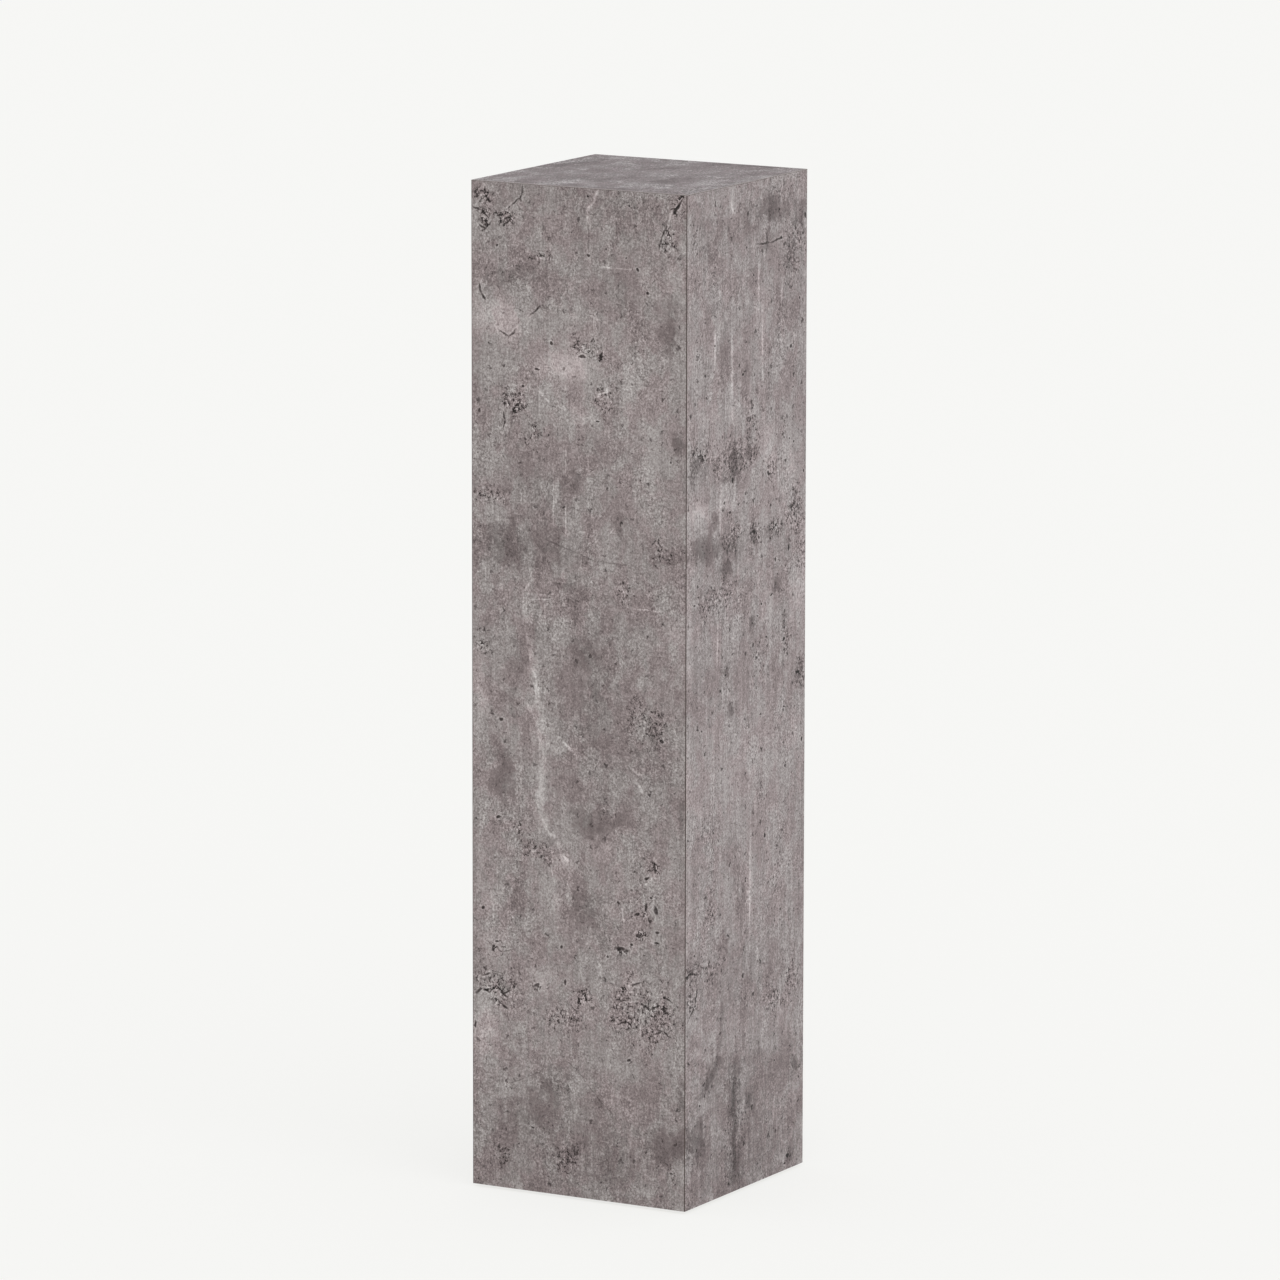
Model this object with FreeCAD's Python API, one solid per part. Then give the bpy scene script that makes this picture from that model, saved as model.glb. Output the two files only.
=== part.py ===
# Square pedestal column: a closed carcass of particle board, clad in sheets of concrete-decor
# laminate, braced half way up, closed by a screwed base board and standing on four plastic glides.
# Millimetres, +Z up. The origin is on the floor, under the middle of the column.
# The front faces -Y, the right side +X.
import FreeCAD, Part
import os
from FreeCAD import Placement, Rotation, Vector

# ---- the column over everything --------------------------------------------------------------
column_width = 240.0  # X, over the laminate
column_depth = 240.0  # Y, over the laminate
column_height = 1000.0  # from the floor to the top face

# ---- laminate sheets -------------------------------------------------------------------------
laminate_thickness = 0.8
lap_bevel = 0.5  # trimming bevel along each edge that laps over a neighbouring sheet

# ---- particle boards -------------------------------------------------------------------------
wall_thickness = 16.0
top_thickness = 16.0
brace_thickness = 16.0
base_thickness = 16.0
brace_level = 495.0  # from the floor to the underside of the brace
housing_depth = 5.0  # of the groove in the walls that the brace sits in
housing_play = 0.2  # above the brace and beyond its edges
base_setback = 2.0  # the base board's underside lies this far above the walls' lower edges
base_side_gap = 0.5  # play round the base board, so that it drops in after gluing

# ---- battens that carry the base board -------------------------------------------------------
batten_width = 20.0
batten_height = 20.0
batten_arris = 1.5  # bevel along the free upper edge

# ---- glued biscuits: flat beech lenses in saw-cut slots --------------------------------------
biscuit_width = 19.0  # across the joint
biscuit_thickness = 4.0
cutter_radius = 50.0  # of the saw that cuts the slots, and of the biscuit's two long edges
slot_bottom_gap = 0.7  # slot left beyond a biscuit's long edges, where the glue gathers
slot_end_gap = 3.8  # slot left beyond a biscuit's ends, for sliding the joint into line
corner_biscuit_count = 4  # in each upright joint
corner_biscuit_margin = 60.0  # from the ends of a wall to its first and last biscuit
top_biscuit_spacing = 110.0  # between the two biscuits under the top board, on each wall

# ---- countersunk screws ----------------------------------------------------------------------
screw_diameter = 4.0
screw_head_diameter = 8.0
screw_point = 5.0  # length of the tapered tip
screw_recess = 0.3  # the head's face lies this far below the board
screw_cover = 6.0  # batten left beyond the screw's tip
cross_span = 4.6  # the cross recess in the head, from tip to tip
cross_foot_span = 2.0  # the same at the recess's floor
cross_width = 1.0  # of each arm
cross_depth = 2.2

# ---- play ------------------------------------------------------------------------------------
glue_gap = 0.05  # round a biscuit, a screw or a glide's stem in its slot or hole

# ---- glides ----------------------------------------------------------------------------------
glide_height = 5.0
glide_diameter = 22.0
glide_bevel = 1.5  # round the lower edge, so that the column slides
glide_inset = 30.0  # from the base board's edges to the middle of a glide
stem_diameter = 8.0  # of the stem that is pressed up into the base board
stem_length = 12.0
stem_end_gap = 0.5  # hole left beyond the stem

# ---- places that follow from the sizes -------------------------------------------------------
core_x = column_width / 2 - laminate_thickness  # half size of the carcass
core_y = column_depth / 2 - laminate_thickness
core_top = column_height - laminate_thickness
inner_x = core_x - wall_thickness  # half size of the hollow
inner_y = core_y - wall_thickness
wall_bottom = glide_height - base_setback
wall_top = core_top - top_thickness
base_bottom = glide_height
base_top = base_bottom + base_thickness
slot_depth = biscuit_width / 2 + slot_bottom_gap  # into each of the two boards
SAME = 0.01  # two places are the same where they lie no further apart

UP = Vector(0, 0, 1)
OUTWARD = {
    "front": Vector(0, -1, 0),
    "back": Vector(0, 1, 0),
    "left": Vector(-1, 0, 0),
    "right": Vector(1, 0, 0),
}
CORE = {"front": core_y, "back": core_y, "left": core_x, "right": core_x}
INNER = {"front": inner_y, "back": inner_y, "left": inner_x, "right": inner_x}


# ---- helpers ---------------------------------------------------------------------------------
def place(side, across, out, level):
    """The point that lies across a side, out from the column's axis and above the floor."""
    outward = OUTWARD[side]
    along = UP.cross(outward)
    return outward * out + along * across + UP * level


def block(corner, opposite):
    """A box between two opposite corners, given in any order."""
    low = Vector(*(min(pair) for pair in zip(corner, opposite)))
    size = Vector(*(abs(a - b) for a, b in zip(corner, opposite)))
    return Part.makeBox(size.x, size.y, size.z, low)


def slab(side, half_length, near, far, bottom, top):
    """A flat board or strip that stands along one side of the column."""
    return block(place(side, -half_length, near, bottom), place(side, half_length, far, top))


def bevelled(solid, size, chosen):
    """The solid with a bevel along each edge that chosen accepts by its middle point."""
    edges = [e for e in solid.Edges if chosen(e.CenterOfMass)]
    return solid.makeChamfer(size, edges)


def outline(points):
    """Straight edges round a closed outline of (x, z) points."""
    corners = [Vector(x, 0, z) for x, z in points]
    return [Part.makeLine(a, b) for a, b in zip(corners, corners[1:] + corners[:1])]


def turned(points, foot):
    """A solid turned on an upright axis through foot, from its half section of (radius, height)."""
    section = Part.Face(Part.Wire(outline(points)))
    solid = section.revolve(Vector(0, 0, 0), UP, 360)
    solid.translate(foot)
    return solid


# ---- biscuits: each one comes with the pair of slots that it is glued into -------------------
def lens(half_length, half_width, thickness):
    """A flat lens with long edges of the cutter's radius: its length on X, its width on Z."""
    drop = cutter_radius - (cutter_radius**2 - half_length**2) ** 0.5
    blunt = half_width - drop  # half the width of the square ends, none where the edges meet
    left_low, right_low = Vector(-half_length, 0, -blunt), Vector(half_length, 0, -blunt)
    left_high, right_high = Vector(-half_length, 0, blunt), Vector(half_length, 0, blunt)
    edges = [Part.Arc(left_low, Vector(0, 0, -half_width), right_low).toShape()]
    if blunt > SAME:
        edges.append(Part.makeLine(right_low, right_high))
    edges.append(Part.Arc(right_high, Vector(0, 0, half_width), left_high).toShape())
    if blunt > SAME:
        edges.append(Part.makeLine(left_high, left_low))
    face = Part.Face(Part.Wire(edges))
    face.translate(Vector(0, -thickness / 2, 0))
    return face.extrude(Vector(0, thickness, 0))


def biscuit(middle, along, across):
    """A biscuit centred on a joint, with its length along the joint and its width across it."""
    saw_middle = cutter_radius - slot_depth  # how far the saw's middle stays out of the board
    half_slot = (cutter_radius**2 - saw_middle**2) ** 0.5
    body = lens(half_slot - slot_end_gap, biscuit_width / 2, biscuit_thickness)
    slots = lens(half_slot, slot_depth, biscuit_thickness + 2 * glue_gap)
    seat = Placement(middle, Rotation(along, across.cross(along), across, "ZXY"))
    body.Placement = seat
    slots.Placement = seat
    return body, slots


def corner_biscuits():
    """Upright joints, where the front and back walls' ends meet the side walls."""
    first = wall_bottom + corner_biscuit_margin
    last = wall_top - corner_biscuit_margin
    pitch = (last - first) / (corner_biscuit_count - 1)
    reach = core_y - wall_thickness / 2
    return [
        biscuit(place(side, end * reach, inner_x, first + k * pitch), UP, OUTWARD[side])
        for side in ("left", "right")
        for end in (-1, 1)
        for k in range(corner_biscuit_count)
    ]


def top_biscuits():
    """Two on each wall's upper edge, under the top board."""
    made = []
    for side in OUTWARD:
        out = CORE[side] - wall_thickness / 2
        for end in (-1, 1):
            middle = place(side, end * top_biscuit_spacing / 2, out, wall_top)
            made.append(biscuit(middle, UP.cross(OUTWARD[side]), UP))
    return made


# ---- screws: each one comes with its countersunk hole ----------------------------------------
def cross_recess(foot):
    """The tapered cross that the driver turns, cut in from the head's face at foot."""
    rim = cross_span / 2
    floor = cross_foot_span / 2
    side = [(-rim, 0), (rim, 0), (floor, cross_depth), (-floor, cross_depth)]
    half = Vector(0, cross_width / 2, 0)
    arm = Part.Face(Part.Wire(outline(side))).extrude(half * 2)
    arm.translate(foot - half)
    other_arm = arm.copy()
    other_arm.rotate(foot, UP, 90)
    return arm.fuse(other_arm)


def screw(foot, length):
    """A screw that points up, and its hole: a pilot as deep as the screw, and a countersink."""
    head = screw_head_diameter / 2
    shank = screw_diameter / 2
    points = [(0, 0), (head, 0), (shank, head - shank), (shank, length - screw_point)]
    body = turned(points + [(0, length)], foot).cut(cross_recess(foot))
    mouth = head + glue_gap
    pilot = shank + glue_gap
    points = [(0, -screw_recess), (mouth, -screw_recess), (mouth, 0), (pilot, mouth - pilot)]
    hole = turned(points + [(pilot, length), (0, length)], foot)
    return body, hole


def base_screws():
    """One up through the base board into the middle of each batten."""
    length = base_thickness - screw_recess + batten_height - screw_cover
    level = base_bottom + screw_recess
    return [
        screw(place(side, 0, INNER[side] - batten_width / 2, level), length) for side in OUTWARD
    ]


# ---- glides: each one comes with the hole that its stem is pressed into ----------------------
def glide(foot):
    radius = glide_diameter / 2
    stem = stem_diameter / 2
    top = glide_height + stem_length
    points = [(0, 0), (radius - glide_bevel, 0), (radius, glide_bevel), (radius, glide_height)]
    body = turned(points + [(stem, glide_height), (stem, top), (0, top)], foot)
    bore = stem + glue_gap
    bore_top = top + stem_end_gap
    hole = turned([(0, glide_height), (bore, glide_height), (bore, bore_top), (0, bore_top)], foot)
    return body, hole


def glides():
    """One near each corner of the base board."""
    reach_x = inner_x - base_side_gap - glide_inset
    reach_y = inner_y - base_side_gap - glide_inset
    return {
        "glide_front_left": glide(Vector(-reach_x, -reach_y, 0)),
        "glide_front_right": glide(Vector(reach_x, -reach_y, 0)),
        "glide_back_left": glide(Vector(-reach_x, reach_y, 0)),
        "glide_back_right": glide(Vector(reach_x, reach_y, 0)),
    }


# ---- boards ----------------------------------------------------------------------------------
def walls(cuts):
    """The side walls run the full depth, and the front and back walls stand between them."""
    half_length = {"front": inner_x, "back": inner_x, "left": core_y, "right": core_y}
    return {
        f"{side}_wall": slab(
            side, half_length[side], INNER[side], CORE[side], wall_bottom, wall_top
        ).cut(cuts)
        for side in OUTWARD
    }


def top_board(cuts):
    return block((-core_x, -core_y, wall_top), (core_x, core_y, core_top)).cut(cuts)


def brace(play=0.0):
    """The brace, or with play the housing that is cut round it in the four walls."""
    half_x = inner_x + housing_depth - housing_play + play
    half_y = inner_y + housing_depth - housing_play + play
    top = brace_level + brace_thickness + play
    return block((-half_x, -half_y, brace_level), (half_x, half_y, top))


def base_board(cuts):
    half_x = inner_x - base_side_gap
    half_y = inner_y - base_side_gap
    return block((-half_x, -half_y, base_bottom), (half_x, half_y, base_top)).cut(cuts)


def battens(cuts):
    """Front and back battens fill the hollow's width, and the other two fit between them."""
    half_length = {
        "front": inner_x,
        "back": inner_x,
        "left": inner_y - batten_width,
        "right": inner_y - batten_width,
    }
    made = {}
    for side in OUTWARD:
        near = INNER[side] - batten_width
        top = base_top + batten_height
        strip = slab(side, half_length[side], near, INNER[side], base_top, top)
        free_edge = place(side, 0, near, top)
        strip = bevelled(strip, batten_arris, lambda middle: middle.isEqual(free_edge, SAME))
        made[f"{side}_batten"] = strip.cut(cuts)
    return made


# ---- laminate sheets -------------------------------------------------------------------------
def laminates():
    """Front and back go on first, the sides lap over their edges, and the top laps over all."""
    sheets = {}
    for side in OUTWARD:
        laps_over = side in ("left", "right")
        half_length = column_depth / 2 if laps_over else core_x
        face = CORE[side] + laminate_thickness
        sheet = slab(side, half_length, CORE[side], face, wall_bottom, core_top)
        if laps_over:
            level = (wall_bottom + core_top) / 2
            ends = [place(side, end * half_length, face, level) for end in (-1, 1)]
            sheet = bevelled(
                sheet, lap_bevel, lambda middle: any(middle.isEqual(e, SAME) for e in ends)
            )
        sheets[f"{side}_laminate"] = sheet
    half_x = column_width / 2
    half_y = column_depth / 2
    top = block((-half_x, -half_y, core_top), (half_x, half_y, column_height))
    rim_level = column_height - SAME
    sheets["top_laminate"] = bevelled(top, lap_bevel, lambda middle: middle.z > rim_level)
    return sheets


# ---- the whole column ------------------------------------------------------------------------
def build():
    corner, top, screws = corner_biscuits(), top_biscuits(), base_screws()
    feet = glides()

    def bodies(pairs):
        return Part.makeCompound([body for body, cut in pairs])

    def cuts(*groups):
        return [cut for pairs in groups for body, cut in pairs]

    nodes = walls(cuts(corner, top) + [brace(housing_play)])
    nodes["top_board"] = top_board(cuts(top))
    nodes["mid_brace"] = brace()
    nodes["base_board"] = base_board(cuts(screws, feet.values()))
    nodes.update(battens(cuts(screws)))
    nodes.update(laminates())
    nodes["corner_biscuits"] = bodies(corner)
    nodes["top_biscuits"] = bodies(top)
    nodes["base_screws"] = bodies(screws)
    nodes.update({name: body for name, (body, cut) in feet.items()})
    return nodes


os.makedirs("parts", exist_ok=True)
for name, shape in build().items():
    shape.exportStep(f"parts/{name}.step")
    print(f"{name}: {len(shape.Solids)} solid(s), {shape.Volume / 1000:.1f} cm3")
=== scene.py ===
from math import atan2, cos, degrees, hypot, pi, radians, sin

import bpy
from mathutils import Matrix, Vector

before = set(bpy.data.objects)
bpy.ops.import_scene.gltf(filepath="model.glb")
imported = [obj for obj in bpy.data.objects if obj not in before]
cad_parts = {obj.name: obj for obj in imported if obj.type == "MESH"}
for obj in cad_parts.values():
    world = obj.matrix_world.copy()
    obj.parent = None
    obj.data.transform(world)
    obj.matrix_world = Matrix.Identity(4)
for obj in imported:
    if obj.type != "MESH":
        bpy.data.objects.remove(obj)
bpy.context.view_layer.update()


# ---- Carcass: four walls, mid brace, top board and base board -------------------------------
# Three-layer particle board, 16 mm thick, sawn to size. The walls are glued edge to face, the
# brace sits in grooves half way up, and only the lower edges and the base board can be seen.

def linear(colour):
    """The linear RGBA of an sRGB hex colour."""
    parts = [int(colour[i:i + 2], 16) / 255 for i in (1, 3, 5)]
    return (*[p / 12.92 if p <= 0.04045 else ((p + 0.055) / 1.055) ** 2.4 for p in parts], 1)


def node(material, kind, inputs, stops=(), **settings):
    """Adds a shader node with its settings. Each input is a value or another node's output."""
    made = material.node_tree.nodes.new("ShaderNode" + kind)
    for name, value in settings.items():
        setattr(made, name, value)
    for name, value in inputs.items():
        if isinstance(value, bpy.types.NodeSocket):
            material.node_tree.links.new(value, made.inputs[name])
        else:
            made.inputs[name].default_value = value
    if stops:
        ramp = made.color_ramp.elements
        ramp.remove(ramp[1])
        ramp[0].position = stops[0][0]
        ramp[0].color = linear(stops[0][1])
        for place, colour in stops[1:]:
            ramp.new(place).color = linear(colour)
    return made.outputs


def blank(name):
    """A material with no nodes yet."""
    material = bpy.data.materials.new(name)
    material.use_nodes = True
    material.node_tree.nodes.clear()
    return material


def dress(material, *names):
    """Gives these CAD nodes their finish."""
    for name in names:
        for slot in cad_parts[name].material_slots:
            slot.material = material


# Sizes of the chips and of the dust between them, in millimetres.
CHIP_WIDTH = 2.2
CHIP_LENGTH = 7.0
DUST_GRAIN = 0.7

# Raw particle board: glued and pressed wood chips, sanded. The eye sees a flat, dull tan made of
# small straw and brown flakes, slightly open where the board is sawn.
particle_board = blank("raw_particle_board")
spot = node(particle_board, "TexCoord", {})["Object"]
flat_chips = node(particle_board, "Mapping", {
    "Vector": spot,
    "Scale": (1000 / CHIP_LENGTH, 1000 / CHIP_WIDTH, 1000 / CHIP_WIDTH),
})[0]
chips = node(particle_board, "TexVoronoi", {"Vector": flat_chips, "Scale": 1.0})
chip_shade = node(particle_board, "SeparateColor", {0: chips["Color"]})[0]
chip_colour = node(particle_board, "ValToRGB", {0: chip_shade}, stops=(
    (0.0, "#8a6742"), (0.2, "#a98559"), (0.55, "#bf9d70"), (0.8, "#cdae82"), (1.0, "#dcc39c"),
))[0]
dust = node(particle_board, "TexNoise", {
    "Vector": spot, "Scale": 1000 / DUST_GRAIN, "Detail": 2.0, "Roughness": 0.7,
})[0]
dusted = node(particle_board, "MixRGB", {
    "Fac": 0.55, "Color1": chip_colour, "Color2": dust,
}, blend_type="SOFT_LIGHT")[0]
chip_relief = node(particle_board, "Bump", {
    "Strength": 0.5, "Distance": 0.0002, "Height": chips["Distance"],
})[0]
raw_board = node(particle_board, "BsdfPrincipled", {
    "Base Color": dusted, "Roughness": 0.85, "IOR": 1.5, "Normal": chip_relief,
})[0]
node(particle_board, "OutputMaterial", {"Surface": raw_board})
dress(particle_board, "front_wall", "back_wall", "left_wall", "right_wall",
      "mid_brace", "top_board", "base_board")


# ---- Biscuits in the corners and under the top board -----------------------------------------
# Lens-shaped slips of beech, die-cut and compressed across the grain, glued into saw-cut slots.
# They swell with the glue and lock each joint.

# Sizes of the rays, in millimetres.
RAY_WIDTH = 0.4
RAY_LENGTH = 2.5

# Beech, pressed: pale pinkish brown, fine and even, with the short dark flecks of its rays.
beech = blank("pressed_beech")
spot = node(beech, "TexCoord", {})["Object"]
along_grain = node(beech, "Mapping", {
    "Vector": spot,
    "Scale": (1000 / RAY_WIDTH, 1000 / RAY_WIDTH, 1000 / RAY_LENGTH),
})[0]
rays = node(beech, "TexNoise", {"Vector": along_grain, "Scale": 1.0, "Detail": 2.0})[0]
beech_colour = node(beech, "ValToRGB", {0: rays}, stops=(
    (0.3, "#a87d5c"), (0.42, "#c79c78"), (0.6, "#d3ab87"), (0.75, "#dcb793"),
))[0]
ray_relief = node(beech, "Bump", {"Strength": 0.2, "Distance": 0.0001, "Height": rays})[0]
pressed = node(beech, "BsdfPrincipled", {
    "Base Color": beech_colour, "Roughness": 0.6, "IOR": 1.5, "Normal": ray_relief,
})[0]
node(beech, "OutputMaterial", {"Surface": pressed})
dress(beech, "corner_biscuits", "top_biscuits")


# ---- Battens round the foot of the walls -----------------------------------------------------
# Planed spruce, 20 x 20 mm, glued to the walls. They back the base board and take its screws.

# Spacing of the year rings, and sizes of the fibres, in millimetres. The lean of the rings is in
# radians, and a wave texture of scale 1 has its bands WAVE_PERIOD apart.
RING_SPACING = 18.85
FIBRE_WIDTH = 0.35
FIBRE_LENGTH = 21.0
RING_LEAN = 0.02
WAVE_PERIOD = 2 * pi / 20


def planed_spruce(name, grain):
    """Planed softwood, grain along X (0) or Y (1): straw yellow with soft amber year rings."""
    spruce = blank(name)
    spot = node(spruce, "TexCoord", {})["Object"]
    stretch = [1000 / FIBRE_WIDTH] * 3
    stretch[grain] = 1000 / FIBRE_LENGTH
    fibres = node(spruce, "Mapping", {"Vector": spot, "Scale": stretch})[0]
    fibre_noise = node(spruce, "TexNoise", {"Vector": fibres, "Scale": 1.0, "Detail": 2.0})[0]
    tilt = (0.0, RING_LEAN, 0.0) if grain == 0 else (RING_LEAN, 0.0, 0.0)
    ringed = node(spruce, "Mapping", {"Vector": spot, "Rotation": tilt})[0]
    rings = node(spruce, "TexWave", {
        "Vector": ringed, "Scale": 1000 / RING_SPACING * WAVE_PERIOD, "Distortion": 2.5,
        "Detail": 2.0,
    }, wave_type="BANDS", bands_direction="Z")[1]
    wood = node(spruce, "ValToRGB", {0: rings}, stops=(
        (0.0, "#e3c493"), (0.6, "#ddb881"), (0.9, "#c79556"), (1.0, "#b98546"),
    ))[0]
    wood = node(spruce, "MixRGB", {
        "Fac": 0.35, "Color1": wood, "Color2": fibre_noise,
    }, blend_type="SOFT_LIGHT")[0]
    relief = node(spruce, "Bump", {"Strength": 0.25, "Distance": 0.0001, "Height": fibre_noise})[0]
    planed = node(spruce, "BsdfPrincipled", {
        "Base Color": wood, "Roughness": 0.65, "IOR": 1.5, "Normal": relief,
    })[0]
    node(spruce, "OutputMaterial", {"Surface": planed})
    return spruce


dress(planed_spruce("planed_spruce_across", 0), "front_batten", "back_batten")
dress(planed_spruce("planed_spruce_deep", 1), "left_batten", "right_batten")


# ---- Screws that hold the base board ---------------------------------------------------------
# Countersunk chipboard screws of hardened steel, 4 mm thick, with a cross recess, turned up into
# the battens. They are bright zinc plated.

# Width of the zinc crystals, in millimetres.
CRYSTAL = 0.25

# Zinc plating over steel: pale grey with a faint blue and yellow cast, half glossy, finely mottled.
zinc = blank("bright_zinc_plating")
spot = node(zinc, "TexCoord", {})["Object"]
crystals = node(zinc, "TexNoise", {
    "Vector": spot, "Scale": 1000 / CRYSTAL, "Detail": 3.0, "Roughness": 0.6,
})[0]
zinc_colour = node(zinc, "ValToRGB", {0: crystals}, stops=(
    (0.3, "#b5b7b9"), (0.5, "#c9cac8"), (0.7, "#d6d3c6"),
))[0]
zinc_roughness = node(zinc, "MapRange", {"Value": crystals, "To Min": 0.22, "To Max": 0.42})[0]
zinc_relief = node(zinc, "Bump", {"Strength": 0.15, "Distance": 0.00005, "Height": crystals})[0]
plated = node(zinc, "BsdfPrincipled", {
    "Base Color": zinc_colour, "Metallic": 1.0, "Roughness": zinc_roughness, "Normal": zinc_relief,
})[0]
node(zinc, "OutputMaterial", {"Surface": plated})
dress(zinc, "base_screws")


# ---- Glides ----------------------------------------------------------------------------------
# Black polyethylene buttons with a stem, moulded in one piece and pressed into the base board.
# They carry the column 3 mm clear of the floor.

# Grain of the mould, in millimetres.
TOOL_GRAIN = 0.5

# Moulded polyethylene: near black, waxy and dull, with the fine grain of its mould and a few scuffs.
polyethylene = blank("moulded_polyethylene")
spot = node(polyethylene, "TexCoord", {})["Object"]
tool_grain = node(polyethylene, "TexNoise", {
    "Vector": spot, "Scale": 1000 / TOOL_GRAIN, "Detail": 2.0,
})[0]
glide_colour = node(polyethylene, "ValToRGB", {0: tool_grain}, stops=(
    (0.3, "#2f2d2b"), (0.55, "#383634"), (0.72, "#4a4745"),
))[0]
glide_roughness = node(polyethylene, "MapRange", {
    "Value": tool_grain, "To Min": 0.45, "To Max": 0.62,
})[0]
glide_relief = node(polyethylene, "Bump", {
    "Strength": 0.2, "Distance": 0.00005, "Height": tool_grain,
})[0]
moulded = node(polyethylene, "BsdfPrincipled", {
    "Base Color": glide_colour, "Roughness": glide_roughness, "IOR": 1.51, "Normal": glide_relief,
})[0]
node(polyethylene, "OutputMaterial", {"Surface": moulded})
dress(polyethylene, "glide_front_left", "glide_front_right", "glide_back_left", "glide_back_right")


# ---- Laminate on the sides and the top -------------------------------------------------------
# High-pressure laminate, 0.8 mm thick: a printed concrete paper under melamine resin, pressed on a
# brown kraft core. It is glued on sheet by sheet and trimmed flush, so each lap shows its core.

def nearest(material, place, marks):
    """How far a point lies from the nearest mark: 1 on a mark's outline, less inside it.

    A mark is an ellipse: its centre across and up the face, half width, half height and lean.
    place is the point across and up the face, with 1 as its third part, which carries each shift.
    """
    least = None
    for across, up, wide, tall, *lean in marks:
        turn = radians(lean[0] if lean else 0)
        if turn:
            parts = []
            for way, half in (((cos(turn), sin(turn)), wide), ((-sin(turn), cos(turn)), tall)):
                row = (way[0] / half, way[1] / half, -(across * way[0] + up * way[1]) / half)
                parts.append(node(material, "VectorMath", {
                    0: place, 1: row,
                }, operation="DOT_PRODUCT")["Value"])
            inside = node(material, "CombineXYZ", {0: parts[0], 1: parts[1]})[0]
        else:
            inside = node(material, "VectorMath", {
                0: place, 1: (1 / wide, 1 / tall, 0), 2: (-across / wide, -up / tall, 0),
            }, operation="MULTIPLY_ADD")[0]
        reach = node(material, "VectorMath", {0: inside}, operation="LENGTH")["Value"]
        if least is None:
            least = reach
        else:
            least = node(material, "Math", {0: least, 1: reach}, operation="MINIMUM")[0]
    return least


def strokes(thick, *lines):
    """The marks along some broken lines, one long thin mark for each of their stretches."""
    marks = []
    for line in lines:
        for (a, b), (c, d) in zip(line, line[1:]):
            lean = degrees(atan2(d - b, c - a))
            marks.append(((a + c) / 2, (b + d) / 2, hypot(c - a, d - b) / 2 + thick, thick, lean))
    return marks


# How wide the lumps of each layer of the print are, in millimetres, from the clouds to the grain.
CLOUD, ZONE, MOTTLE = 95.0, 48.0, 30.0
GAP, WINDING, CURD, DRIP, CRUMB, GRAIN = 13.0, 8.0, 7.0, 5.0, 3.4, 2.1

# How far each layer of the print goes, in levels of tone from 0 to 255.
GROUND = 136.0
CLOUDING, MOTTLING, DRIPPING, CURDLING, GRAINING = 10.0, 38.0, 25.0, 57.0, 112.0
CRUMBLING = 66.0

# The tone of single features, in the same levels.
PATCH = -4.0
FLECK, FLAKE = -74.0, 24.0
WORM, WORM_LIP = -96.0, 30.0
PIT, PIT_RIM = -94.0, 13.0

# Dark strokes of this level and below are open cracks, which have a pale lip.
DEEP = -40
CRACK_LIP = 8.0

# Air holes strewn by chance, two kinds: how far apart in millimetres, least and most radius as
# shares of that, the share of holes that are smaller than the least, and their tone.
STREWN = (
    (5.5, 0.06, 0.17, 0.45, -30.0),
    (16.0, 0.03, 0.1, 0.55, -48.0),
)

# The tones at the two ends of the colour ramp.
DARKEST, PALEST = 20.0, 200.0


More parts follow.
